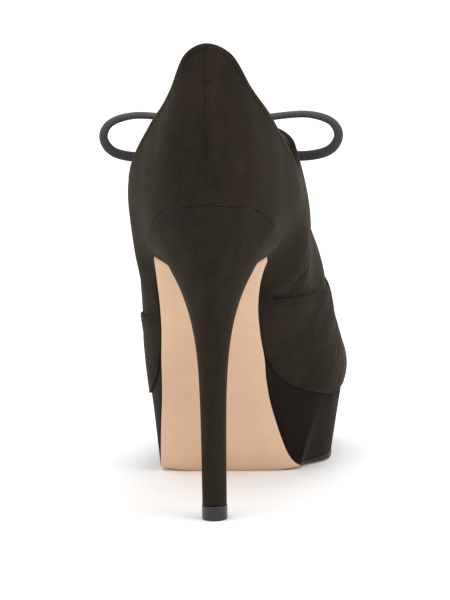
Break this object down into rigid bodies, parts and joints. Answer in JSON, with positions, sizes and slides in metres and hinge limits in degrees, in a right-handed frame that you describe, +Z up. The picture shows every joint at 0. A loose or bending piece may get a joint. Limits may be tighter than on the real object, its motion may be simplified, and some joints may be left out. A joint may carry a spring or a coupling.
{
  "type": "heeled shoe",
  "caption": "Lace-up platform shoe with a high slim heel, a peaked back and a tied bow, open at the collar and hollow inside.",
  "frame": {"origin": "centre of the heel tip's bottom face, on the floor", "axes": "+X to the inner side of a left foot, +Y to the toe, +Z up"},
  "size_m": [0.103, 0.2058, 0.1961],
  "materials": {
    "suede": "matt napped suede",
    "lining": "smooth, satin",
    "sole_leather": "smooth, satin",
    "tip": "glossy",
    "lace": "woven, matt"
  },
  "bodies": {
    "root": {"upper": "suede", "insole": "lining", "outsole": "sole_leather", "platform": "suede", "heel": "suede", "heel_tip": "tip", "tongue": "suede", "lace_crossings": "lace", "lace_knot": "lace", "lace_loop_left": "lace", "lace_loop_right": "lace", "lace_end_left": "lace", "lace_end_right": "lace"}
  },
  "joints": []
}
